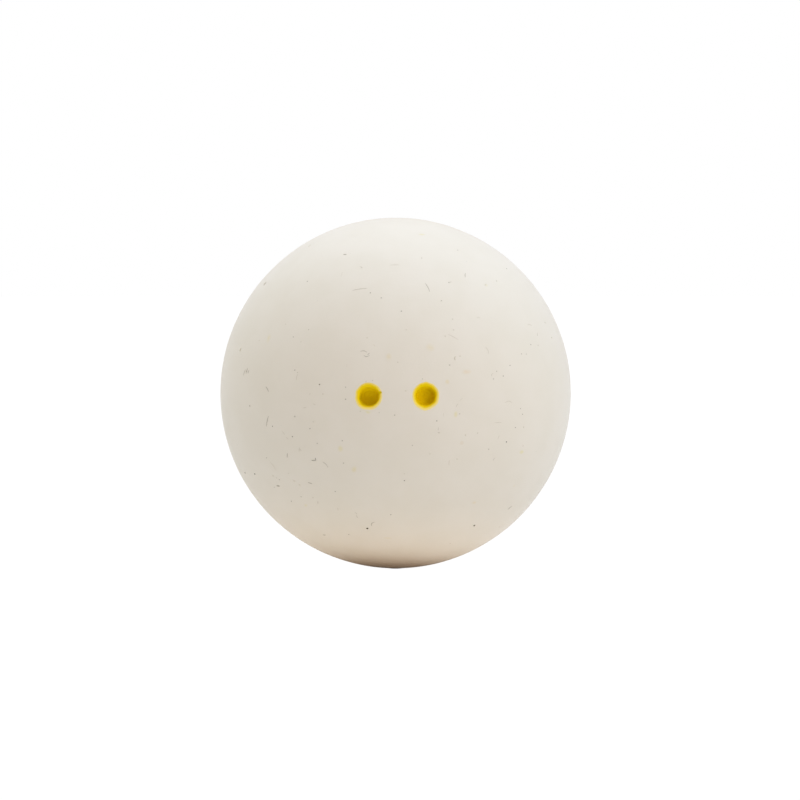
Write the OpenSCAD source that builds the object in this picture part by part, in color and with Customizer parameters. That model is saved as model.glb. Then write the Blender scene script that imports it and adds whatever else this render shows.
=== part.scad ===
// Squash ball: two moulded rubber half shells cemented into one hollow sphere, with two painted dots.
// Millimetres. The origin is the ball's centre, the dots face -Y and the seam lies in the XZ plane.

/* [Ball] */
// Outer diameter of the finished ball
ball_d = 40; // [39.5:0.1:40.5]
// Thickness of the rubber wall
wall = 5; // [4:0.1:6]

/* [Seam] */
// Thickness of the cured cement film between the two half shells
film_t = 0.2; // [0.1:0.02:0.4]
// Radius moulded on each half shell's inner edge, which the squeezed cement fills
inner_edge_r = 0.6; // [0.4:0.05:0.9]
// Width of the cement bead along the inside of the seam
bead_w = 2; // [1.8:0.1:2.6]
// Height of the cement bead above the inner wall
bead_h = 0.35; // [0.2:0.05:0.6]

/* [Dot recesses] */
// Distance between the centres of the two dots, straight across
dot_pitch = 6.4; // [5:0.1:9]
// Diameter of a recess at its floor, before the corner is rounded
floor_d = 2; // [1.8:0.1:2.6]
// Depth of a recess below the ball's surface, on the recess's own axis
dot_depth = 1.4; // [1.2:0.05:1.6]
// Draft angle of the recess's wall, in degrees
wall_draft = 8; // [4:1:14]
// Radius where the recess's wall turns into its floor
corner_r = 0.45; // [0.3:0.05:0.55]
// Radius of the lip where the recess's wall turns out into the ball's surface
lip_r = 0.46; // [0.36:0.02:0.56]

/* [Dot paint] */
// Thickness of the yellow paint on a recess's floor
floor_paint_t = 0.12; // [0.06:0.01:0.2]
// Thickness of the yellow paint on a recess's wall
wall_paint_t = 0.08; // [0.04:0.01:0.12]
// How much wider than the moulded corner the paint's own rounded corner is
pool_r = 0.12; // [0.02:0.02:0.2]

/* [Hidden] */
$fn = 180;

rubber_colour = "#EDE8DC";
cement_colour = "#D9CFB8";
paint_colour = "#E3BC12";

// The faces that turn towards the viewer when a section is spun: left is -X and right is +X
left_side = -1;
right_side = 1;
// One overrun for every cut, so that no cutter ends on the face that it cuts
overrun = wall / 5;
// Height by which the lip's arc stands over the ball's surface, so that it leaves the surface at a slight angle
lip_rise = lip_r / 60;
// How far the paint's own lip arc slides down the wall, as a share of the paint there, so that it ends thin
paint_slide_share = 0.7;
// How far short of the crest of the lip the paint ends, as a share of the lip's radius
bare_lip_share = 0.15;

ball_r = ball_d / 2;
inner_r = ball_r - wall;
half_film = film_t / 2;

// Inner edge of a half shell: the centre of its rounding, seen in a section through the pole
edge_y = half_film + inner_edge_r;
edge_x = sqrt(pow(inner_r + inner_edge_r, 2) - pow(edge_y, 2));
// Where the rounding leaves the inner wall, just past it towards the hollow
edge_reach_share = (inner_r - inner_edge_r) / (inner_r + inner_edge_r);

// Bead of cement: an arc through both ends of its width on the inner wall and through its crest
bead_end_x = sqrt(pow(inner_r, 2) - pow(bead_w / 2, 2));
bead_sag = bead_end_x - (inner_r - bead_h);
bead_r = (pow(bead_w / 2, 2) + pow(bead_sag, 2)) / (2 * bead_sag);

// Angle between a dot's axis and the ball's front pole
dot_angle = asin(dot_pitch / ball_d);
// Recess section, with x out from the dot's axis and y out from the ball's centre
floor_r = floor_d / 2;
floor_y = ball_r - dot_depth;
top_y = ball_r + overrun;

// Distance from the dot's axis to the recess's straight wall at height y
function wall_x(y) = floor_r + (y - floor_y) * tan(wall_draft);

// Height of the lip arc's centre, at which the arc stands lip_rise over the ball's surface
lean = tan(wall_draft);
lip_foot_x = wall_x(0) + lip_r / cos(wall_draft);
lip_reach = ball_r - lip_r + lip_rise;
lip_y = (-lip_foot_x * lean + sqrt(pow(lip_foot_x * lean, 2)
    - (1 + pow(lean, 2)) * (pow(lip_foot_x, 2) - pow(lip_reach, 2)))) / (1 + pow(lean, 2));
lip_x = wall_x(lip_y) + lip_r / cos(wall_draft);

// The paint's own floor, wall and lip, inside the recess
paint_floor_y = floor_y + floor_paint_t;
paint_floor_r = wall_x(paint_floor_y) - wall_paint_t / cos(wall_draft);
paint_lip_y = lip_y - paint_slide_share * wall_paint_t * cos(wall_draft);
paint_edge_r = lip_x - bare_lip_share * lip_r;

// Everything that a half shell loses where its inner edge is rounded
module inner_edge_cut() {
    difference() {
        polygon([
            [edge_x, edge_y],
            [edge_x, 0],
            [edge_x * edge_reach_share, 0],
            [edge_x * edge_reach_share, edge_y * edge_reach_share],
        ]);
        translate([edge_x, edge_y])
            circle(r = inner_edge_r);
    }
}

// Half of a half shell's section: x out from the axis, y towards the pole
module shell_section() {
    difference() {
        intersection() {
            circle(r = ball_r);
            translate([0, half_film])
                square([top_y, top_y]);
        }
        circle(r = inner_r);
        inner_edge_cut();
    }
}

// Section of the cement: the film across the wall, and the bead that fills both rounded edges
module cement_section() {
    difference() {
        intersection() {
            circle(r = ball_r);
            union() {
                translate([inner_r, -half_film])
                    square([wall + overrun, film_t]);
                translate([inner_r - bead_h + bead_r, 0])
                    circle(r = bead_r);
            }
        }
        shell_section();
        mirror([0, 1])
            shell_section();
    }
}

// Half of the section of an open pocket with a drafted wall, a rounded corner and a lip that rolls out
module pocket_section(foot_r, foot_y, round_r, roll_r, roll_y, mouth_x) {
    round_x = foot_r + round_r * lean - round_r / cos(wall_draft);
    round_y = foot_y + round_r;
    roll_x = foot_r + (roll_y - foot_y) * lean + roll_r / cos(wall_draft);
    roll_end = [roll_x - roll_r * cos(wall_draft), roll_y + roll_r * sin(wall_draft)];
    difference() {
        union() {
            polygon([
                [0, foot_y],
                [round_x, foot_y],
                [round_x, round_y],
                [round_x + round_r * cos(wall_draft), round_y - round_r * sin(wall_draft)],
                roll_end,
                [mouth_x, roll_end.y],
                [mouth_x, top_y],
                [0, top_y],
            ]);
            translate([round_x, round_y])
                circle(r = round_r);
        }
        translate([roll_x, roll_y])
            circle(r = roll_r);
    }
}

module recess_section() {
    pocket_section(floor_r, floor_y, corner_r, lip_r, lip_y, lip_x);
}

// The paint fills the recess out to its own edge and is hollowed by a pocket of its own, thin at the lip
module paint_section() {
    difference() {
        intersection() {
            recess_section();
            square([paint_edge_r, top_y]);
        }
        pocket_section(paint_floor_r, paint_floor_y, corner_r + pool_r, lip_r + wall_paint_t,
            paint_lip_y, lip_x + lip_r);
    }
}

// Turns the +Z pole of a spun section to the front, which is -Y
module to_front() {
    rotate([90, 0, 0])
        children();
}

// Turns the +Z axis of a spun section to the dot on the given side
module at_dot(side) {
    rotate([0, 0, side * dot_angle])
        to_front()
            children();
}

module half_shell() {
    rotate_extrude()
        shell_section();
}

module front_shell() {
    color(rubber_colour)
        difference() {
            to_front()
                half_shell();
            for (side = [left_side, right_side])
                at_dot(side)
                    rotate_extrude()
                        recess_section();
        }
}

module rear_shell() {
    color(rubber_colour)
        mirror([0, 1, 0])
            to_front()
                half_shell();
}

module seam_cement() {
    color(cement_colour)
        to_front()
            rotate_extrude()
                cement_section();
}

// Film of paint that lines one recess
module dot(side) {
    color(paint_colour)
        at_dot(side)
            rotate_extrude()
                paint_section();
}

front_shell();
rear_shell();
seam_cement();
dot(left_side);  // left_dot
dot(right_side);  // right_dot
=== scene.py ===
"""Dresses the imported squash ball: moulded rubber cups, cement, dot paint, and the dust and lint on it."""

import logging
import math
from dataclasses import dataclass, field
from enum import Enum
from typing import NamedTuple

import bmesh
import bpy
import numpy as np
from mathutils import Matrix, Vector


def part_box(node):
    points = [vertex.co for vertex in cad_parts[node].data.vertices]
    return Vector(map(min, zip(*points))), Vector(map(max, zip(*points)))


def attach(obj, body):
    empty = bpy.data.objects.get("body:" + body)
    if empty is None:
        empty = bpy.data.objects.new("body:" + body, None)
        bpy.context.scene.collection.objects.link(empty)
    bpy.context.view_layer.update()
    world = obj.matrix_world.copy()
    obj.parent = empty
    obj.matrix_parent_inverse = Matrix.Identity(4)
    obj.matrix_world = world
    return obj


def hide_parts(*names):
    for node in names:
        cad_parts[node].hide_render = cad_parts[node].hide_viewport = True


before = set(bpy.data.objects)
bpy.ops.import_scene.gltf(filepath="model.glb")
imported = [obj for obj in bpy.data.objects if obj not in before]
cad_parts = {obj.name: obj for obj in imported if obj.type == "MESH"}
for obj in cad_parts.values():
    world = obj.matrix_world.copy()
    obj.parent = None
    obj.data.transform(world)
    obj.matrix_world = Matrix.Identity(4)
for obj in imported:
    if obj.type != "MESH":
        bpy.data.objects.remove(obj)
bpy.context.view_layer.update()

LOG = logging.getLogger("squash_ball")
MM = 0.001
BODY = "root"
FULL_TURN = 2 * math.pi
QUARTER_TURN = math.pi / 2
KNIFE_EDGE = math.radians(120)

Span = tuple[float, float]
Rgb = tuple[float, float, float]
Rgba = tuple[float, float, float, float]


class Side(Enum):
    """The side of the front pole on which a dot lies, as the sign of its X."""

    LEFT = -1
    RIGHT = 1


@dataclass(frozen=True)
class BallSizes:
    """Sizes of the rubber ball, the same as the part's."""

    radius: float
    wall: float = 5.0 * MM
    half_film: float = 0.1 * MM
    rim_r: float = 0.06 * MM
    inner_edge_r: float = 0.6 * MM
    bead_w: float = 2.0 * MM
    bead_h: float = 0.35 * MM

    @property
    def inner_radius(self) -> float:
        """Radius of the hollow."""
        return self.radius - self.wall

    @property
    def edge_centre(self) -> tuple[float, float]:
        """Centre of a cup's rounded inner edge: its distances from the pole's axis and from the seam."""
        along = self.half_film + self.inner_edge_r
        return math.sqrt((self.inner_radius + self.inner_edge_r) ** 2 - along**2), along

    def edge_round(self, steps: int) -> np.ndarray:
        """The arc of the rounded inner edge, from the cemented face to the hollow."""
        turn = math.atan2(*self.edge_centre)
        return arc(self.edge_centre, self.inner_edge_r, -QUARTER_TURN, -QUARTER_TURN - turn, steps)


@dataclass(frozen=True)
class RecessSizes:
    """Sizes of a moulded dot recess, the same as the part's."""

    pitch: float = 6.4 * MM
    floor_r: float = 1.0 * MM
    depth: float = 1.4 * MM
    draft: float = math.radians(8)
    corner_r: float = 0.45 * MM
    lip_r: float = 0.46 * MM


class WaveBand(NamedTuple):
    """One band of gentle unevenness: its wavelength, its height and how many waves make it up."""

    length: float
    height: float
    count: int


class GroundSurface:
    """The slight unevenness that moulding and grinding leave in the outside of the ball."""

    BANDS = (
        WaveBand(22 * MM, 0.012 * MM, 7),
        WaveBand(6 * MM, 0.004 * MM, 12),
        WaveBand(2.2 * MM, 0.0014 * MM, 18),
    )
    SEED = 11
    FADE_DEPTH = 3.0 * MM
    GROUND_OFF = 0.03 * MM

    def __init__(self, radius: float) -> None:
        """Draws each wave's direction and phase.

        Args:
            radius: the ball's outer radius.
        """
        self.radius = radius
        draw = np.random.default_rng(self.SEED)
        vectors, phases, heights = [], [], []
        for band in self.BANDS:
            heading = draw.normal(size=(band.count, 3))
            heading /= np.linalg.norm(heading, axis=1, keepdims=True)
            vectors.append(heading * FULL_TURN / band.length)
            phases.append(draw.uniform(0, FULL_TURN, band.count))
            heights.append(np.full(band.count, band.height / math.sqrt(band.count)))
        self.vectors = np.concatenate(vectors)
        self.phases = np.concatenate(phases)
        self.heights = np.concatenate(heights)

    def settle(self, points: np.ndarray) -> np.ndarray:
        """Moves points in or out with the uneven outside.

        The rise over a point's own direction is a sum of sine waves that run through space, less the
        little that grinding takes off. It is full at the outside and fades to nothing FADE_DEPTH below.

        Args:
            points: an array whose last axis holds x, y and z.

        Returns:
            The moved points, in the same layout.
        """
        distance = np.linalg.norm(points, axis=-1, keepdims=True)
        heading = points / np.maximum(distance, MM)
        phase = (heading * self.radius) @ self.vectors.T + self.phases
        rise = (np.sin(phase) @ self.heights)[..., None] - self.GROUND_OFF
        share = np.clip(1 - (self.radius - distance) / self.FADE_DEPTH, 0, 1)
        return points + heading * rise * share


def arc(centre: tuple[float, float], radius: float, start: float, end: float, steps: int) -> np.ndarray:
    """Points on an arc in a plane: centre plus radius times (cosine, sine) of evenly spaced angles.

    Args:
        centre: the arc's centre.
        radius: its radius.
        start: the first angle, from the first axis.
        end: the last angle.
        steps: how many equal steps it has.

    Returns:
        An array of steps + 1 rows of two numbers.
    """
    angle = np.linspace(start, end, steps + 1)
    return np.stack([centre[0] + radius * np.cos(angle), centre[1] + radius * np.sin(angle)], axis=-1)


def spin(section: np.ndarray, angle: np.ndarray) -> np.ndarray:
    """Carries a section round the front axis, which is -Y.

    Each point (out, along) goes to (out cos a, -along, out sin a) for every angle a.

    Args:
        section: rows of distance from the axis and distance along it.
        angle: the angles, from +X towards +Z.

    Returns:
        A grid of points with a row for each section point and a column for each angle.
    """
    out, along = section[:, :1], section[:, 1:]
    return np.stack([out * np.cos(angle), -along + 0 * angle, out * np.sin(angle)], axis=-1)


def turn_about_z(points: np.ndarray, angle: float) -> np.ndarray:
    """Turns points about the vertical axis by the right-hand rule.

    Args:
        points: an array whose last axis holds x, y and z.
        angle: the angle in radians.

    Returns:
        The turned points.
    """
    c, s = math.cos(angle), math.sin(angle)
    return points @ np.array([[c, s, 0], [-s, c, 0], [0, 0, 1]])


def unit(vectors: np.ndarray) -> np.ndarray:
    """Vectors along the last axis, brought to length one."""
    return vectors / np.linalg.norm(vectors, axis=-1, keepdims=True)


def smooth_step(share: np.ndarray) -> np.ndarray:
    """A share held from 0 to 1 and eased at both ends: its square times three less twice itself."""
    held = np.clip(share, 0, 1)
    return held * held * (3 - 2 * held)


def new_object(name: str, data: bpy.types.ID) -> bpy.types.Object:
    """An object in the scene that shows a mesh or a camera.

    Args:
        name: the object's name.
        data: the mesh or camera.

    Returns:
        The new object.
    """
    made = bpy.data.objects.new(name, data)
    bpy.context.scene.collection.objects.link(made)
    return made


def welded_piece(
    name: str,
    grids: list[np.ndarray],
    values: dict[str, np.ndarray] | None = None,
    weld: float = 0.0002 * MM,
) -> bpy.types.Object:
    """Joins grids of points into one closed mesh that faces outwards, smooth but for knife edges.

    Args:
        name: the piece's name.
        grids: arrays of rows by columns by x, y and z, which share their edge points.
        values: numbers for the materials to read, each with one number for every point of the grids.
        weld: points closer than this become one.

    Returns:
        The new object, which rides on the ball's body.
    """
    points, quads, first = [], [], 0
    for grid in grids:
        rows, columns = grid.shape[:2]
        index = first + np.arange(rows * columns).reshape(rows, columns)
        corners = (index[:-1, :-1], index[1:, :-1], index[1:, 1:], index[:-1, 1:])
        quads.append(np.stack(corners, axis=-1).reshape(-1, 4))
        points.append(grid.reshape(-1, 3))
        first += rows * columns
    mesh = bpy.data.meshes.new(name)
    mesh.from_pydata(np.concatenate(points).tolist(), [], np.concatenate(quads).tolist())
    for label, numbers in (values or {}).items():
        mesh.attributes.new(label, "FLOAT", "POINT").data.foreach_set("value", numbers.ravel())
    work = bmesh.new()
    work.from_mesh(mesh)
    bmesh.ops.remove_doubles(work, verts=work.verts, dist=weld)
    bmesh.ops.recalc_face_normals(work, faces=work.faces)
    work.to_mesh(mesh)
    work.free()
    mesh.polygons.foreach_set("use_smooth", np.ones(len(mesh.polygons), bool))
    mesh.set_sharp_from_angle(angle=KNIFE_EDGE)
    mesh.update()
    piece = new_object(name, mesh)
    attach(piece, BODY)
    LOG.info("%s: %d points, %d faces", name, len(mesh.vertices), len(mesh.polygons))
    return piece


@dataclass(frozen=True)
class HalfShell:
    """One moulded rubber cup, whose section runs from its outside over the rim to its inner pole."""

    sizes: BallSizes
    surface: GroundSurface
    columns: int = 360
    outside_rows: int = 110
    inside_rows: int = 40
    rim_steps: int = 4
    edge_steps: int = 8
    seam_margin: float = 0.08 * MM

    def section(self, start: float) -> np.ndarray:
        """The cup's section, as distance from the pole's axis and distance towards the pole.

        It is the outer arc from polar angle start, the small round of the rim, the flat edge that is
        cemented, the moulded round of the inner edge, and the inner arc up to the pole.

        Args:
            start: the polar angle where the outside begins.

        Returns:
            Rows of two lengths.
        """
        ball = self.sizes
        rim_y = ball.half_film + ball.rim_r
        rim_x = math.sqrt((ball.radius - ball.rim_r) ** 2 - rim_y**2)
        rim_turn, edge_turn = math.atan2(rim_x, rim_y), math.atan2(*ball.edge_centre)
        polar = np.linspace(start, rim_turn - self.seam_margin / ball.radius, self.outside_rows)
        outside = ball.radius * np.stack([np.sin(polar), np.cos(polar)], axis=-1)
        rim = arc((rim_x, rim_y), ball.rim_r, QUARTER_TURN - rim_turn, -QUARTER_TURN, self.rim_steps)
        inside = arc((0, 0), ball.inner_radius, QUARTER_TURN - edge_turn, QUARTER_TURN, self.inside_rows)
        return np.concatenate([outside, rim, ball.edge_round(self.edge_steps), inside[1:]])

    def around(self) -> np.ndarray:
        """Angles of the section's copies round the pole's axis, the first and the last the same."""
        return np.linspace(-QUARTER_TURN, FULL_TURN - QUARTER_TURN, self.columns + 1)


@dataclass(frozen=True)
class RearShell(HalfShell):
    """The plain cup behind the seam."""

    def build(self) -> bpy.types.Object:
        """Spins the section about the pole and turns the pole to the rear.

        Returns:
            The cup's object.
        """
        grid = spin(self.section(0.0), self.around()) * np.array([1, -1, 1])
        piece = welded_piece("rear_cup", [self.surface.settle(grid)])
        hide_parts("rear_shell")
        return piece


@dataclass(frozen=True)
class Recess:
    """A moulded dot recess: its place on the ball, and its section from the surface to its middle."""

    sizes: RecessSizes
    ball: BallSizes
    apron: float = 0.6 * MM
    apron_steps: int = 10
    lip_steps: int = 12
    wall_steps: int = 4
    corner_steps: int = 8
    floor_steps: int = 12

    @property
    def floor_y(self) -> float:
        """Distance of the floor from the ball's centre."""
        return self.ball.radius - self.sizes.depth

    @property
    def angle(self) -> float:
        """Angle between the recess's axis and the front pole."""
        return math.asin(self.sizes.pitch / (2 * self.ball.radius))

    def wall_x(self, height: float) -> float:
        """Distance from the recess's axis to its drafted wall at a height along the axis."""
        return self.sizes.floor_r + (height - self.floor_y) * math.tan(self.sizes.draft)

    @property
    def lip_centre(self) -> tuple[float, float]:
        """Centre of the lip's arc, which touches the wall and the ball's surface.

        Returns:
            Its distance from the recess's axis and its distance along it.
        """
        lean = math.tan(self.sizes.draft)
        clear = self.sizes.lip_r / math.cos(self.sizes.draft)
        foot = self.wall_x(0.0) + clear
        reach = self.ball.radius - self.sizes.lip_r
        spread = 1 + lean**2
        root = math.sqrt((foot * lean) ** 2 - spread * (foot**2 - reach**2))
        height = (root - foot * lean) / spread
        return self.wall_x(height) + clear, height

    @property
    def mouth_angle(self) -> float:
        """Angle, at the ball's centre, between the recess's axis and where its lip meets the surface."""
        return math.atan2(*self.lip_centre)

    def section(self) -> np.ndarray:
        """The recess's section from the end of its lip to its middle.

        It is the lip's arc, the straight wall, the arc of the corner and the flat floor.

        Returns:
            Rows of distance from the axis and distance along it.
        """
        size = self.sizes
        lip_start = QUARTER_TURN - self.mouth_angle
        lip = arc(self.lip_centre, size.lip_r, lip_start, math.pi - size.draft, self.lip_steps)
        corner_x = size.floor_r + size.corner_r * (math.tan(size.draft) - 1 / math.cos(size.draft))
        corner_centre = (corner_x, self.floor_y + size.corner_r)
        corner = arc(corner_centre, size.corner_r, -size.draft, -QUARTER_TURN, self.corner_steps)
        wall = np.linspace(lip[-1], corner[0], self.wall_steps + 1)[1:-1]
        middle = np.linspace(corner[-1], (0.0, self.floor_y), self.floor_steps + 1)[1:]
        return np.concatenate([lip, wall, corner, middle])

    def apron_section(self) -> np.ndarray:
        """The section with a strip of the ball's surface outside the lip put before it.

        Returns:
            Rows of distance from the axis and distance along it.
        """
        mouth = self.mouth_angle
        start = mouth + self.apron / self.ball.radius
        strip = arc((0, 0), self.ball.radius, QUARTER_TURN - start, QUARTER_TURN - mouth, self.apron_steps)
        return np.concatenate([strip[:-1], self.section()])

    def place(self, points: np.ndarray, side: Side) -> np.ndarray:
        """Turns points spun about the front pole to the recess on the given side."""
        return turn_about_z(points, side.value * self.angle)


@dataclass(frozen=True)
class FrontShell(HalfShell):
    """The cup with the two dot recesses moulded into its front."""

    recess: Recess = field(kw_only=True)
    patch_r: float = 6.4 * MM
    patch_rows: int = 26
    middle_columns: int = 90
    crowding: float = 1.5

    @property
    def patch_angle(self) -> float:
        """Polar angle of the round patch that holds both recesses."""
        return math.asin(self.patch_r / self.sizes.radius)

    def right_outline(self) -> np.ndarray:
        """Directions round the right half of the patch: up its arc and down the middle, closed.

        Returns:
            Rows of x, y and z.
        """
        half = self.columns // 2
        rise = self.around()[: half + 1]
        polar = self.patch_angle
        bend = spin(np.array([[math.sin(polar), math.cos(polar)]]), rise)[0]
        drop = np.linspace(polar, -polar, self.middle_columns + 1)[1:]
        middle = np.stack([0 * drop, -np.cos(drop), np.sin(drop)], axis=-1)
        return np.concatenate([bend, middle])

    def patch_grids(self) -> list[np.ndarray]:
        """Grids of the right half of the patch: the ball's surface round the recess, and the recess.

        Each outline direction has a bearing from the recess's axis. A column runs from the recess's
        mouth at that bearing straight out to the outline, as the direction of a weighted mean, and the
        recess's own section is spun to the same bearings, so the two share their points at the mouth.

        Returns:
            Two grids of points.
        """
        outline = self.right_outline()
        local = turn_about_z(outline, -self.recess.angle)
        bearing = np.arctan2(local[:, 2], local[:, 0])
        section = self.recess.section()
        hollow = self.recess.place(spin(section, bearing), Side.RIGHT)
        mouth = unit(hollow[0])
        share = np.linspace(0, 1, self.patch_rows)[:, None, None] ** self.crowding
        ring = self.sizes.radius * unit((1 - share) * mouth + share * outline)
        return [ring, hollow]

    def build(self) -> bpy.types.Object:
        """Joins the spun cup beyond the patch to the patch's right half and its mirror image.

        Returns:
            The cup's object.
        """
        cup = spin(self.section(self.patch_angle), self.around())
        right = self.patch_grids()
        left = [grid * np.array([-1, 1, 1]) for grid in right]
        grids = [self.surface.settle(grid) for grid in (cup, *right, *left)]
        piece = welded_piece("front_cup", grids)
        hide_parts("front_shell")
        return piece


@dataclass(frozen=True)
class SeamCement:
    """The cured cement: a thin film across the wall, and the bead squeezed out inside."""

    sizes: BallSizes
    surface: GroundSurface
    columns: int = 360
    edge_steps: int = 6
    crest_steps: int = 10
    sink: float = 0.01 * MM

    def section(self) -> np.ndarray:
        """A closed section: round the outer end of the film, and round the bead at its inner end.

        The bead is an arc through its two feet on the inner wall and its crest. Between its feet and
        the film it follows the rounded inner edges of the cups.

        Returns:
            Rows of distance from the seam's axis and distance towards the front pole.
        """
        ball = self.sizes
        outer = ball.radius - self.sink
        front_edge = ball.edge_round(self.edge_steps)
        foot_y = ball.bead_w / 2
        foot_x = math.sqrt(ball.inner_radius**2 - foot_y**2)
        crest_x = ball.inner_radius - ball.bead_h
        sag = foot_x - crest_x
        bead_r = (foot_y**2 + sag**2) / (2 * sag)
        spread = math.asin(foot_y / bead_r)
        crest = arc((crest_x + bead_r, 0), bead_r, math.pi - spread, math.pi + spread, self.crest_steps)
        rear_edge = front_edge[::-1] * np.array([1, -1])
        ends = np.array([[outer, -ball.half_film], [outer, ball.half_film]])
        return np.concatenate([ends, front_edge, crest, rear_edge, ends[:1]])

    def build(self) -> bpy.types.Object:
        """Spins the section round the ball's front axis.

        Returns:
            The film's object.
        """
        around = np.linspace(0, FULL_TURN, self.columns + 1)
        grid = self.surface.settle(spin(self.section(), around))
        piece = welded_piece("cement_film", [grid])
        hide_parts("seam_cement")
        return piece


class Run(NamedTuple):
    """A place where paint ran or clotted: its bearing in degrees, its reach and its width in radians."""

    bearing: float
    reach: float
    width: float


class Lay(NamedTuple):
    """How the wet paint was laid in its recess, and where painted shade deepens its lining, with bearings in
    degrees.

    The brush met the wall at one bearing first, and left a heap of paint on the wall and a thicker
    build-up in the corner there. The sag is the bearing towards which the lining's colour is darkened as
    painted shade, by an amount, and it is lighter opposite. Its tone is the painted shade over the whole
    lining, from 0, light all over, to 1, deep all over. Drips carry its edge outwards over the lip, and
    clots carry its deep lining outwards.
    """

    seed: int
    brush: float
    heap: float
    build_up: float
    sag: float
    amount: float
    tone: float
    drips: tuple[Run, ...]
    clots: tuple[Run, ...]


# Each lay's sag, amount and tone set the painted shade in its recess's lining.
LAYS = {
    Side.LEFT: Lay(
        seed=4,
        brush=110,
        heap=0.18 * MM,
        build_up=0.26 * MM,
        sag=250,
        amount=0.42,
        tone=0.56,
        drips=(Run(232, 0.07 * MM, 0.35), Run(85, -0.05 * MM, 0.6)),
        clots=(Run(17, 0.5 * MM, 0.12), Run(135, -0.3 * MM, 0.9)),
    ),
    Side.RIGHT: Lay(
        seed=9,
        brush=105,
        heap=0.1 * MM,
        build_up=0.26 * MM,
        sag=346,
        amount=0.6,
        tone=0.46,
        drips=(Run(270, 0.08 * MM, 0.2), Run(88, 0.04 * MM, 0.2)),
        clots=(Run(113, 0.3 * MM, 0.1), Run(255, -0.65 * MM, 0.6)),
    ),
}


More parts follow.
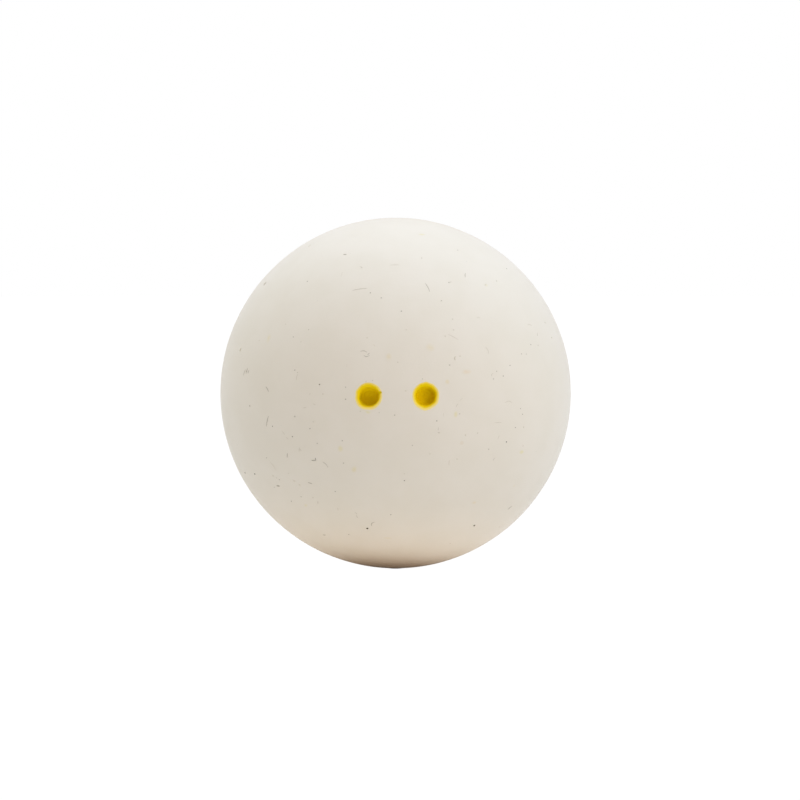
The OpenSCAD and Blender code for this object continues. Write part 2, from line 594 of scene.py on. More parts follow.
@dataclass(frozen=True)
class DotPaint:
    """The film of yellow paint that lines one recess.

    It has a thickness at its edge, on the wall and on the floor, and more where it pools. Reach is its
    edge's usual distance from the recess's axis, wander is how far the brushed edge strays, and each
    rise is the way in over which a thickness grows. Brush_reach is how much better the lip is covered
    on the brush's side. The ripple is a share of the thickness, and the rows crowd towards the edge.
    """

    recess: Recess
    surface: GroundSurface
    side: Side
    lay: Lay
    edge_t: float = 0.02 * MM
    wall_t: float = 0.07 * MM
    floor_t: float = 0.12 * MM
    pool_t: float = 0.07 * MM
    reach: float = 1.54 * MM
    wander: float = 0.03 * MM
    edge_waves: tuple[int, int] = (2, 14)
    edge_rise: float = 0.21 * MM
    heap_rise: float = 0.3 * MM
    brush_reach: float = 0.08 * MM
    clot_fade: int = 4
    ripple: float = 0.12
    ripple_lobes: int = 3
    ripple_l: float = 0.9 * MM
    columns: int = 192
    rows: int = 56
    crowding: float = 1.4

    @property
    def usual_edge(self) -> float:
        """Way along the apron's section at which the paint usually ends, at its reach from the axis.

        Returns:
            A length from the section's start.
        """
        lip_r = self.recess.sizes.lip_r
        lip_turn = math.acos((self.reach - self.recess.lip_centre[0]) / lip_r)
        return self.recess.apron + lip_r * (lip_turn - QUARTER_TURN + self.recess.mouth_angle)

    @staticmethod
    def bells(runs: tuple[Run, ...], bearing: np.ndarray) -> np.ndarray:
        """The sum of the runs' bells at each bearing: reach times e to minus the square of the way off.

        Args:
            runs: the places where paint ran or clotted.
            bearing: the angles round the recess.

        Returns:
            A length for each angle.
        """
        total = 0 * bearing
        for run in runs:
            away = (bearing - math.radians(run.bearing) + math.pi) % FULL_TURN - math.pi
            total = total + run.reach * np.exp(-((away / run.width) ** 2))
        return total

    def edge_shift(self, bearing: np.ndarray) -> np.ndarray:
        """How far past its usual edge the paint reaches at each bearing.

        A brushed edge wanders as a sum of a few waves round the recess, and each drip adds a bell.

        Args:
            bearing: the angles round the recess.

        Returns:
            A length for each angle.
        """
        draw = np.random.default_rng(self.lay.seed)
        counts = np.arange(*self.edge_waves)
        phases = draw.uniform(0, FULL_TURN, len(counts))
        waves = np.sin(bearing[:, None] * counts + phases) / np.sqrt(counts)
        return self.wander * waves.sum(axis=1) / 2 + self.bells(self.lay.drips, bearing)

    def thickness(self, way_in: np.ndarray, base: np.ndarray, near_brush: np.ndarray) -> np.ndarray:
        """The film's thickness at points of the section.

        It grows from the edge to the wall as one less e to minus the way in, and is greater on the
        floor by a smooth step of the height. It is greatest in the corner, where paint pools, by a bell
        round the corner's foot. On the brush's side a heap is added, and more in the corner.

        Args:
            way_in: each point's way in from the paint's edge, along the section.
            base: each point's distance from the recess's axis and its distance along it.
            near_brush: how far each point lies towards the brush's side, from 0 to 1.

        Returns:
            A length for each point.
        """
        size = self.recess.sizes
        height = base[..., 1] - self.recess.floor_y
        low = smooth_step(1 - height / (2 * size.corner_r))
        corner = np.exp(-(((base[..., 0] - size.floor_r) ** 2 + height**2) / size.corner_r**2))
        grown = 1 - np.exp(-way_in / self.edge_rise)
        heaped = 1 - np.exp(-((way_in / self.heap_rise) ** 2))
        film = self.edge_t + (self.wall_t - self.edge_t) * grown + (self.floor_t - self.wall_t) * low
        film = film + self.lay.heap * near_brush * heaped
        return film + (self.pool_t + self.lay.build_up * near_brush) * corner

    def looks(
        self, way_in: np.ndarray, across: np.ndarray, brushed: np.ndarray, bearing: np.ndarray
    ) -> dict[str, np.ndarray]:
        """The numbers that the paint's finish reads, for both layers and the band between them.

        Covered is the way in from the edge, more on the brush's side, where the lip is well covered.
        Lined is the same way, more at each clot, and shows how far in the deep lining a point lies.
        The third number deepens the lining as painted shade: its tone, more across towards the sag's bearing
        and less opposite it, and the clots near the edge.

        Args:
            way_in: each point's way in from the paint's edge, along the section.
            across: each point's distance from the recess's axis, as a share of the paint's reach.
            brushed: that share, as far as it leads towards the brush's side.
            bearing: the angles round the recess.

        Returns:
            The three numbers of every point, by name.
        """
        clotted = self.bells(self.lay.clots, bearing) / MM
        leaning = np.cos(bearing - math.radians(self.lay.sag))
        numbers = {
            "covered": (way_in + self.brush_reach * brushed) / MM,
            "lined": way_in / MM + clotted,
            # Painted shade: the lining darkens by the tone and towards the sag's bearing, and lightens
            # opposite it.
            "painted_shade_and_clots": self.lay.tone + self.lay.amount * across * leaning + clotted * across**self.clot_fade,
        }
        return {label: np.concatenate([grid, grid, grid[:1], grid[:1]]) for label, grid in numbers.items()}

    def laid(self, layer: np.ndarray, bearing: np.ndarray) -> np.ndarray:
        """Spins a layer's sections about the pole, closed at the middle, and turns them to the recess.

        Args:
            layer: each point's distance from the pole's axis and along it, with a column for each angle.
            bearing: the columns' angles.

        Returns:
            A grid of points.
        """
        out, up = layer[..., 0], layer[..., 1]
        out[-1] = 0
        up[-1] = up[-1].mean()
        spun = np.stack([out * np.cos(bearing), -up, out * np.sin(bearing)], axis=-1)
        return self.surface.settle(self.recess.place(spun, self.side))

    def build(self) -> bpy.types.Object:
        """Lays the film on the recess's own section, from its edge on the lip to the middle.

        At each bearing the film starts where its edge lies and follows the section inwards. Its
        underside is the section, and its top stands off square to it by the film's thickness, which
        ripples by a sine of the way along times a sine of the bearing.

        Returns:
            The film's object.
        """
        path = self.recess.apron_section()
        step = np.linalg.norm(np.diff(path, axis=0), axis=1)
        run = np.concatenate([[0], np.cumsum(step)])
        slope = np.gradient(path, run, axis=0)
        normal = unit(np.stack([slope[:, 1], -slope[:, 0]], axis=-1))
        bearing = np.linspace(0, FULL_TURN, self.columns + 1)
        edge = self.usual_edge - self.edge_shift(bearing)
        share = np.linspace(0, 1, self.rows)[:, None] ** self.crowding
        along = edge + (run[-1] - edge) * share
        way_in = along - edge
        base = np.stack([np.interp(along, run, path[:, k]) for k in range(2)], axis=-1)
        away = unit(np.stack([np.interp(along, run, normal[:, k]) for k in range(2)], axis=-1))
        across = base[..., 0] / self.reach
        brushed = across * np.cos(bearing - math.radians(self.lay.brush))
        looks = self.looks(way_in, across, brushed, bearing)
        lobes = np.sin(self.ripple_lobes * bearing + self.lay.seed)
        rippled = 1 + self.ripple * lobes * np.sin(FULL_TURN * along / self.ripple_l)
        film = self.thickness(way_in, base, np.clip(brushed, 0, 1)) * rippled
        layers = [self.laid(layer, bearing) for layer in (base + away * film[..., None], base)]
        edge_band = np.stack([layers[0][0], layers[1][0]])
        piece = welded_piece(f"{self.side.name.lower()}_dot_paint", [*layers, edge_band], looks)
        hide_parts(f"{self.side.name.lower()}_dot")
        return piece


@dataclass(frozen=True)
class PhotoView:
    """Where the ball and the camera are in the photograph, in its frame of 800 by 800 pixels."""

    ball_radius: float
    frame_px: float = 800.0
    centre_x_px: float = 395.6
    centre_y_px: float = 393.05
    outline_px: float = 350.5
    azimuth: float = math.radians(-0.53)
    elevation: float = math.radians(0.99)
    distance: float = 0.9
    clip_near: float = 0.09
    clip_far: float = 18.0
    sensor: float = 36.0

    @property
    def focal_px(self) -> float:
        """Focal length in pixels, which makes the ball's outline as wide as the photograph's."""
        return self.outline_px / 2 / math.tan(math.asin(self.ball_radius / self.distance))

    def axes(self) -> np.ndarray:
        """The camera's right, up and back directions, as rows.

        Returns:
            Three rows of x, y and z.
        """
        a, e = self.azimuth, self.elevation
        right = (math.cos(a), math.sin(a), 0.0)
        up = (-math.sin(a) * math.sin(e), math.cos(a) * math.sin(e), math.cos(e))
        back = (math.sin(a) * math.cos(e), -math.cos(a) * math.cos(e), math.sin(e))
        return np.array([right, up, back])

    def surface_points(self, pixels: np.ndarray) -> np.ndarray:
        """Points of the ball that pixels of the photograph show.

        A ray runs from the camera through each pixel, and its nearer meeting with the sphere is kept.

        Args:
            pixels: rows of x and y, with y down.

        Returns:
            Rows of x, y and z.
        """
        offset = (pixels - (self.centre_x_px, self.centre_y_px)) * (1, -1) / self.focal_px
        axes = self.axes()
        ray = unit(offset @ axes[:2] - axes[2])
        eye = axes[2] * self.distance
        along = -(ray @ eye)
        gap = np.maximum(along**2 - self.distance**2 + self.ball_radius**2, 0)
        return eye + ray * (along - np.sqrt(gap))[:, None]

    def build_camera(self) -> bpy.types.Object:
        """Makes the camera, shifted so that the ball lies where the photograph has it.

        Returns:
            The camera's object.
        """
        data = bpy.data.cameras.new("camera")
        data.sensor_width = self.sensor
        data.lens = self.focal_px * self.sensor / self.frame_px
        data.shift_x = 0.5 - self.centre_x_px / self.frame_px
        data.shift_y = self.centre_y_px / self.frame_px - 0.5
        data.clip_start = self.clip_near
        data.clip_end = self.clip_far
        camera = new_object("camera", data)
        camera.location = self.axes()[2] * self.distance
        camera.rotation_euler = (QUARTER_TURN - self.elevation, 0, self.azimuth)
        bpy.context.scene.camera = camera
        return camera


class Mark(NamedTuple):
    """A mark on the ball: its pixel in the photograph, its sizes in millimetres and its look.

    The turn is in degrees from level, anticlockwise as seen. The bend is how far the middle stands
    aside, as a share of a third of the length. The shade runs from 0, barely there, to 1, strong.
    """

    x_px: float
    y_px: float
    length: float
    width: float
    turn: float = 0.0
    bend: float = 0.0
    shade: float = 0.5


class MarkKind(Enum):
    """What a mark is, as its piece's name."""

    FIBRE = "grey_fibres"
    SPECK = "dark_specks"
    STAIN = "ochre_stains"


def specks_at(shade: float, length: float, width: float, places: tuple[Span, ...]) -> tuple[Mark, ...]:
    """Specks of one look at several pixels of the photograph."""
    return tuple(Mark(x, y, length, width, shade=shade) for x, y in places)


SEEN_FIBRES = (
    Mark(359.8, 289.4, 1.80, 0.08, 10, 0.1, 0.27),
    Mark(427.3, 287.3, 1.40, 0.08, -73, 0.15, 0.35),
    Mark(267.5, 421.3, 1.45, 0.09, 66, 0.1, 0.45),
    Mark(363.6, 352.0, 0.85, 0.08, -8, 0.5, 0.35),
    Mark(366.6, 355.0, 0.75, 0.09, 0, -0.7, 0.35),
    Mark(368.6, 353.9, 0.35, 0.09, 45, 0.0, 0.4),
    Mark(453.1, 337.0, 1.45, 0.06, -29, 0.1, 0.15),
    Mark(345.0, 254.6, 0.45, 0.14, -5, 0.1, 0.36),
    Mark(465.5, 275.1, 0.75, 0.09, 65, 0.2, 0.32),
    Mark(313.7, 460.4, 0.60, 0.13, 0, 0.0, 0.6),
    Mark(315.6, 459.0, 0.35, 0.09, 88, 0.0, 0.65),
    Mark(325.2, 464.9, 1.00, 0.07, -52, 0.4, 0.38),
    Mark(278.0, 485.9, 0.60, 0.19, -3, 0.0, 0.33),
    Mark(274.3, 487.3, 0.35, 0.09, 25, 0.0, 0.3),
    Mark(455.5, 358.2, 0.52, 0.16, 80, 0.4, 0.1),
    Mark(373.6, 524.2, 0.90, 0.07, 56, 0.8, 0.5),
    Mark(509.8, 507.8, 0.65, 0.09, 60, 0.2, 0.45),
    Mark(439.0, 432.7, 0.32, 0.11, -15, 0.0, 0.2),
    Mark(438.4, 428.8, 0.40, 0.08, 86, 0.0, 0.18),
    Mark(244.6, 372.5, 0.85, 0.10, 66, 0.3, 0.3),
    Mark(246.8, 370.0, 0.60, 0.09, 60, -0.3, 0.45),
    Mark(246.6, 372.2, 0.50, 0.10, 62, 0.0, 0.35),
    Mark(248.6, 371.6, 0.45, 0.10, 62, 0.1, 0.45),
    Mark(267.2, 389.3, 0.85, 0.09, -50, 0.2, 0.45),
    Mark(310.0, 483.1, 0.60, 0.11, -20, 0.0, 0.36),
    Mark(287.3, 455.5, 0.60, 0.11, 70, 0.0, 0.42),
    Mark(299.3, 449.6, 0.62, 0.11, 70, 0.0, 0.1),
    Mark(300.6, 449.8, 0.36, 0.08, -60, 0.0, 0.15),
    Mark(494.3, 459.2, 0.44, 0.12, 55, 0.4, 0.08),
    Mark(449.7, 462.4, 0.75, 0.09, 86, 0.3, 0.03),
    Mark(487.0, 350.6, 0.95, 0.07, -70, 0.5, 0.08),
    Mark(355.9, 513.4, 0.40, 0.08, -60, 0.4, 0.2),
    Mark(357.3, 516.6, 0.45, 0.08, -80, -0.3, 0.25),
    Mark(394.7, 265.1, 1.15, 0.07, 2, 0.1, 0.05),
    Mark(273.0, 466.4, 1.25, 0.08, -64, 0.3, 0.06),
    Mark(498.4, 422.8, 1.10, 0.07, 0, 0.1, 0.13),
    Mark(485.8, 284.8, 0.50, 0.09, 35, 0.4, 0.12),
    Mark(450.2, 282.2, 0.40, 0.08, 15, 0.2, 0.14),
    Mark(508.6, 403.0, 1.10, 0.08, 0, 0.6, 0.12),
    Mark(374.2, 345.3, 0.40, 0.08, -50, 0.2, 0.04),
    Mark(347.1, 365.4, 0.50, 0.08, 86, 0.1, 0.04),
    Mark(297.3, 377.2, 0.75, 0.10, 80, 0.3, 0.10),
    Mark(342.1, 274.0, 0.80, 0.07, 96, 0.1, 0.03),
    Mark(361.2, 267.4, 0.45, 0.10, -40, 0.3, 0.12),
    Mark(309.8, 245.6, 0.50, 0.12, 100, 0.0, 0.04),
    Mark(422.0, 258.0, 0.45, 0.08, 80, 0.2, 0.1),
    Mark(478.5, 317.7, 0.50, 0.08, 2, 0.1, 0.04),
    Mark(492.8, 375.0, 0.50, 0.08, 60, 0.9, 0.1),
    Mark(537.6, 334.6, 0.50, 0.08, 65, 0.6, 0.12),
    Mark(283.5, 433.0, 0.55, 0.08, -50, 0.1, 0.12),
    Mark(287.1, 438.2, 0.45, 0.08, -35, 0.1, 0.12),
    Mark(314.2, 404.2, 0.40, 0.08, -20, 0.0, 0.12),
    Mark(304.9, 407.6, 0.45, 0.08, 10, 0.0, 0.1),
    Mark(337.8, 509.1, 0.40, 0.10, 84, 0.0, 0.06),
    Mark(318.0, 502.5, 0.45, 0.12, 70, 0.2, 0.12),
    Mark(457.2, 405.4, 0.45, 0.08, 60, 0.3, 0.1),
    Mark(461.5, 399.3, 0.50, 0.07, 40, 0.2, 0.04),
    Mark(443.5, 414.8, 0.45, 0.07, 84, 0.0, 0.03),
    Mark(498.6, 437.4, 0.50, 0.08, 75, 0.2, 0.08),
    Mark(529.6, 325.2, 0.85, 0.08, -12, 0.3, 0.06),
    Mark(324.3, 535.0, 0.45, 0.15, 0, 0.0, 0.36),
    Mark(264.9, 283.6, 0.55, 0.26, 98, 0.0, 0.06),
    Mark(240.4, 349.3, 0.50, 0.30, 80, 0.0, 0.0),
)
SEEN_SPECKS = (
    *specks_at(1.0, 0.28, 0.24, ((367.3, 528.4), (474.3, 525.4))),
    *specks_at(0.8, 0.18, 0.15, ((319.6, 384.5), (292.5, 436.6), (506.5, 441.9))),
    *specks_at(0.65, 0.16, 0.14, ((404.4, 480.6),)),
    *specks_at(0.8, 0.22, 0.19, ((254.8, 474.0), (245.1, 472.9))),
    *specks_at(0.3, 0.26, 0.20, ((249.8, 405.9), (294.9, 416.5))),
    *specks_at(0.2, 0.24, 0.17, ((449.8, 364.9),)),
    *specks_at(0.0, 0.28, 0.20, (
        (273.0, 475.8), (294.1, 481.0), (299.7, 485.0), (545.0, 322.7), (551.4, 337.7),
    )),
    *specks_at(0.0, 0.24, 0.18, ((496.7, 281.0), (465.7, 435.0))),
    *specks_at(0.3, 0.16, 0.13, (
        (496.7, 371.3), (412.4, 445.4), (345.6, 387.2), (520.5, 408.6), (308.7, 329.7),
    )),
    *specks_at(0.50, 0.16, 0.13, (
        (310.0, 428.6), (370.4, 292.8), (381.3, 297.8), (401.4, 311.1), (335.2, 491.4),
        (394.6, 415.1), (436.8, 420.9), (515.4, 427.5), (272.6, 426.3), (291.3, 501.2),
        (390.8, 514.6), (510.0, 365.4), (307.3, 281.4), (530.7, 344.7), (294.9, 370.1),
        (345.6, 399.2),
    )),
    *specks_at(0.42, 0.16, 0.13, (
        (441.5, 300.7), (293.4, 337.0), (301.1, 496.7), (522.3, 414.2), (493.4, 378.9),
        (488.8, 449.2), (342.3, 440.7), (506.7, 268.7), (449.0, 282.5), (521.5, 353.9),
        (503.2, 376.0), (317.3, 443.3), (343.5, 463.1), (279.3, 479.6), (348.8, 534.5),
        (266.6, 457.8),
    )),
    *specks_at(0.16, 0.16, 0.14, (
        (457.8, 250.1), (379.2, 412.4), (360.3, 411.2), (450.1, 543.3), (276.6, 477.8),
        (297.6, 372.5), (366.0, 381.2), (526.2, 354.0), (459.7, 413.8), (372.6, 380.4),
        (422.6, 378.8),
    )),
    *specks_at(0.04, 0.20, 0.16, (
        (406.5, 329.6), (309.9, 393.9), (405.9, 390.7), (313.2, 421.8), (430.1, 453.7),
        (404.4, 473.7), (453.7, 329.7), (312.9, 497.7), (285.8, 324.1), (301.1, 341.8),
        (367.1, 337.7), (397.9, 362.1), (445.4, 335.9), (460.2, 356.0), (477.7, 432.9),
        (457.2, 459.0), (523.7, 427.0), (523.1, 445.9), (538.0, 345.4), (259.3, 340.4),
        (322.9, 393.9), (452.6, 318.9), (288.6, 473.4), (499.4, 526.8),
    )),
)
SEEN_STAINS = (
    Mark(354.4, 469.2, 1.10, 0.85, 60, 0.0, 0.35),
    Mark(388.8, 357.3, 0.95, 1.20, 0, 0.0, 0.6),
    Mark(474.0, 502.6, 0.85, 0.55, 0, 0.0, 0.8),
    Mark(455.8, 414.4, 0.60, 0.95, 0, 0.0, 0.2),
    Mark(340.3, 448.6, 0.85, 1.00, 0, 0.0, 0.15),
    Mark(521.7, 452.0, 0.95, 0.60, 0, 0.0, 0.1),
    Mark(421.8, 234.5, 1.00, 0.60, 0, 0.0, 0.3),
    Mark(466.9, 371.7, 1.45, 0.75, 4, 0.0, 0.9),
    Mark(387.2, 538.4, 1.30, 0.60, -8, 0.2, 0.5),
    Mark(447.4, 381.9, 0.75, 0.75, 0, 0.0, 0.6),
    Mark(514.2, 485.9, 0.65, 0.50, 0, 0.0, 0.5),
    Mark(430.4, 347.4, 1.40, 1.20, 0, 0.0, 0.6),
    Mark(268.6, 338.4, 0.95, 1.50, 0, 0.0, 0.45),
    Mark(486.2, 285.0, 0.70, 0.60, 0, 0.0, 0.3),
    Mark(368.4, 411.6, 0.90, 0.40, -10, -0.3, 0.1),
    Mark(306.0, 505.4, 0.80, 0.60, 20, 0.0, 0.1),
)


@dataclass(frozen=True)
class Scatter:
    """Marks strewn over the part of the ball that the photograph doesn't show, as ranges of values."""

    count: int
    length: Span
    width: Span
    bend: float
    shade: Span
    seed: int


@dataclass(frozen=True)
class MarkShape:
    """How a kind of mark is formed: its flatness, how proud it stands, and how finely it is divided.

    Flatness and how proud it stands are shares of its width.
    """

    flatness: float
    proud: float
    rings: int
    sides: int


@dataclass(frozen=True)
class SurfaceMarks:
    """Lint, specks or stains that lie in the skin of the ball, each a small closed lens or strand.

    Strewn marks are the first of SPARE_DRAWS times as many random directions that lie behind the ball's
    outline. A mark's turn is counted from level, and near a pole from square to the X axis.
    """

    kind: MarkKind
    seen: tuple[Mark, ...]
    scatter: Scatter
    shape: MarkShape
    view: PhotoView
    surface: GroundSurface

    SPARE_DRAWS = 4
    OUT_OF_VIEW = -0.05
    NEAR_POLE = 0.95

    def all_marks(self) -> tuple[np.ndarray, np.ndarray]:
        """The direction of every mark from the ball's centre, and its five values, seen ones first.

        Returns:
            Rows of x, y and z, and rows of length, width, turn, bend and shade.
        """
        rows = np.array(self.seen)
        shown = unit(self.view.surface_points(rows[:, :2]))
        draw = np.random.default_rng(self.scatter.seed)
        strewn = unit(draw.normal(size=(self.SPARE_DRAWS * self.scatter.count, 3)))
        hidden = strewn @ self.view.axes()[2] < self.OUT_OF_VIEW
        strewn = strewn[hidden][: self.scatter.count]
        n = len(strewn)
        drawn = (
            draw.uniform(*self.scatter.length, n),
            draw.uniform(*self.scatter.width, n),
            draw.uniform(0, 180, n),
            draw.uniform(-1, 1, n) * self.scatter.bend,
            draw.uniform(*self.scatter.shade, n),
        )
        return np.concatenate([shown, strewn]), np.concatenate([rows[:, 2:], np.stack(drawn, axis=-1)])

    def build(self) -> bpy.types.Object:
        """Makes every mark at once, as a closed tube that swells from a point to its width and back.

        A ring at share u of the length has its middle on a curve that bends aside by the sine of half a
        turn of u, and its girth follows a half circle of u. Heights are flattened, so that the mark lies
        in the skin with only its top proud. Each point also keeps its mark's shade, and a fade that
        falls from one at the mark's middle to nothing at its edge.

        Returns:
            The marks' object.
        """
        middle, values = self.all_marks()
        length, width, turn, bend, shade = (values[:, k, None, None] for k in range(5))
        turn = np.radians(turn[:, 0])
        up = np.where(np.abs(middle[:, 2:]) < self.NEAR_POLE, [[0.0, 0.0, 1.0]], [[1.0, 0.0, 0.0]])
        level = unit(np.cross(up, middle))
        rise = np.cross(middle, level)
        heading = level * np.cos(turn) + rise * np.sin(turn)
        across = rise * np.cos(turn) - level * np.sin(turn)
        u = np.linspace(0, 1, self.shape.rings)[None, :, None]
        v = np.linspace(0, FULL_TURN, self.shape.sides + 1)
        girth = np.sqrt(np.clip(1 - (2 * u - 1) ** 2, 0, 1))
        along = ((u - 0.5) * length + 0 * v) * MM
        aside = (bend * length * np.sin(math.pi * u) / 3 + girth * width * np.cos(v) / 2) * MM
        lift = girth * width * (np.sin(v) * self.shape.flatness / 2 + self.shape.proud) * MM
        flat = (
            middle[:, None, None] * self.view.ball_radius
            + heading[:, None, None] * along[..., None]
            + across[:, None, None] * aside[..., None]
        )
        on_ball = self.surface.settle(unit(flat) * self.surface.radius)
        points = on_ball + unit(on_ball) * lift[..., None]
        reach = np.sqrt((2 * u - 1) ** 2 + (girth * np.cos(v)) ** 2)
        fade = np.clip(1 - reach, 0, 1) + 0 * points[..., 0]
        own_shade = shade + 0 * points[..., 0]
        piece = welded_piece(self.kind.value, list(points), {"shade": own_shade, "fade": fade})
        return piece


VECTOR, FLOAT, COLOUR = "NodeSocketVector", "NodeSocketFloat", "NodeSocketColor"


class NodeSheet:
    """A node tree with short calls to add nodes and join them.

    A colour Mix node has its colours from input MIX_COLOURS on, and its result at output MIX_RESULT.
    """

    COLUMN_W = 220
    MIX_COLOURS = 6
    MIX_RESULT = 2

    def __init__(self, tree: bpy.types.NodeTree) -> None:
        """Keeps the tree and counts columns for a readable layout."""
        self.tree = tree
        self.column = 0

    def add(self, kind: str, **values: object) -> bpy.types.Node:
        """Adds a node, sets what is named and joins or fills its inputs.

        Args:
            kind: the node's type, without the words Shader Node.
            values: attributes of the node, or inputs by name with spaces as underscores.

        Returns:
            The new node.
        """
        node = self.tree.nodes.new("ShaderNode" + kind)
        node.location = (self.COLUMN_W * self.column, 0)
        self.column += 1
        for name, value in values.items():
            if hasattr(node, name):
                setattr(node, name, value)
            else:
                self.fill(node.inputs[name.replace("_", " ")], value)
        return node

    def fill(self, socket: bpy.types.NodeSocket, value: object) -> None:
        """Joins an output to an input, or sets the input's own value.

        Args:
            socket: the input.
            value: an output, or the input's own value.
        """
        if isinstance(value, bpy.types.NodeSocket):
            self.tree.links.new(value, socket)
        else:
            socket.default_value = value

    def feed(self, node: bpy.types.Node, *values: object, start: int = 0) -> bpy.types.Node:
        """Fills a node's inputs in their order, from the one at the starting index.

        Args:
            node: the node.
            values: outputs, or the inputs' own values.
            start: the index of the first input.

        Returns:
            The same node.
        """
        for index, value in enumerate(values, start):
            self.fill(node.inputs[index], value)
        return node

    def math(self, operation: str, first: object, second: object = 0.0) -> bpy.types.NodeSocket:
        """Output of a Math node on two values or sockets."""
        return self.feed(self.add("Math", operation=operation), first, second).outputs[0]

    def vector(self, operation: str, *values: object) -> bpy.types.Node:
        """A Vector Math node on the given inputs."""
        return self.feed(self.add("VectorMath", operation=operation), *values)

    def grown(self, value: object, factor: float, start: float) -> bpy.types.NodeSocket:
        """A value times a factor, added to a starting number."""
        return self.math("ADD", self.math("MULTIPLY", value, factor), start)

    def blend(self, share: object, first: object, second: object, way: str = "MIX") -> bpy.types.NodeSocket:
        """Output of a colour Mix node: first where share is 0, with second mixed in fully where it is 1."""
        node = self.add("Mix", data_type="RGBA", blend_type=way, Factor=share)
        return self.feed(node, first, second, start=self.MIX_COLOURS).outputs[self.MIX_RESULT]

    def ramp(self, value: object, low: float, high: float) -> bpy.types.NodeSocket:
        """A value brought to 0 at low and to 1 at high, smoothly and held between them."""
        return self.feed(self.add("MapRange", interpolation_type="SMOOTHSTEP"), value, low, high).outputs[0]

    def choose(self, share: object, first: object, second: object) -> bpy.types.NodeSocket:
        """Output of a Mix Shader node: the first shader where share is 0 and the second where it is 1."""
        return self.feed(self.add("MixShader"), share, first, second).outputs[0]

    def noise(self, place: object, scale: object, detail: object) -> bpy.types.NodeSocket:
        """Output of a Noise Texture node."""
        return self.add("TexNoise", Vector=place, Scale=scale, Detail=detail).outputs["Fac"]

    def read(self, label: str) -> bpy.types.NodeSocket:
        """The numbers that a piece's mesh keeps under a name."""
        return self.add("Attribute", attribute_name=label).outputs["Fac"]

    def bump(self, height: object, strength: float, distance: float) -> bpy.types.NodeSocket:
        """The normals of a skin that a height roughens."""
        return self.add("Bump", Height=height, Strength=strength, Distance=distance).outputs[0]

    def use(self, group: bpy.types.NodeTree, **values: object) -> bpy.types.Node:
        """Places a shared group, with its inputs by name."""
        return self.add("Group", node_tree=group, **values)


class GroupSheet(NodeSheet):
    """The tree of a new group that finishes share, with its inputs by name."""

    def __init__(self, name: str, inputs: dict[str, tuple], outputs: dict[str, str]) -> None:
        """Makes the group and its sockets.

        Args:
            name: the group's name.
            inputs: each input's name, with its socket type and, for a number, its default.
            outputs: each output's name, with its socket type.
        """
        super().__init__(bpy.data.node_groups.new(name, "ShaderNodeTree"))
        for label, (kind, *default) in inputs.items():
            socket = self.tree.interface.new_socket(label, in_out="INPUT", socket_type=kind)
            for value in default:
                socket.default_value = value
        for label, kind in outputs.items():
            self.tree.interface.new_socket(label, in_out="OUTPUT", socket_type=kind)
        self.given = self.tree.nodes.new("NodeGroupInput").outputs

    def give(self, **values: bpy.types.NodeSocket) -> bpy.types.NodeTree:
        """Joins the group's outputs by name, and gives back its tree.

        Args:
            values: what each output gives.

        Returns:
            The group's tree.
        """
        result = self.tree.nodes.new("NodeGroupOutput")
        for name, value in values.items():
            self.fill(result.inputs[name], value)
        return self.tree


class FinishSheet(NodeSheet):
    """The tree of a new material, with its Principled shader, its output and its Object coordinates."""

    def __init__(self, name: str) -> None:
        """Makes the material and joins its shader to its output.

        Args:
            name: the material's name.
        """
        self.material = bpy.data.materials.new(name)
        self.material.use_nodes = True
        self.material.node_tree.nodes.clear()
        super().__init__(self.material.node_tree)
        self.place = self.add("TexCoord").outputs["Object"]
        self.shader = self.add("BsdfPrincipled")
        self.output = self.add("OutputMaterial", Surface=self.shader.outputs[0])

    def dress(self, **values: object) -> bpy.types.Material:
        """Fills the shader's own inputs, named with spaces as underscores, and gives back the material.

        Args:
            values: outputs, or the inputs' own values.

        Returns:
            The material.
        """
        for name, value in values.items():
            self.fill(self.shader.inputs[name.replace("_", " ")], value)
        return self.material


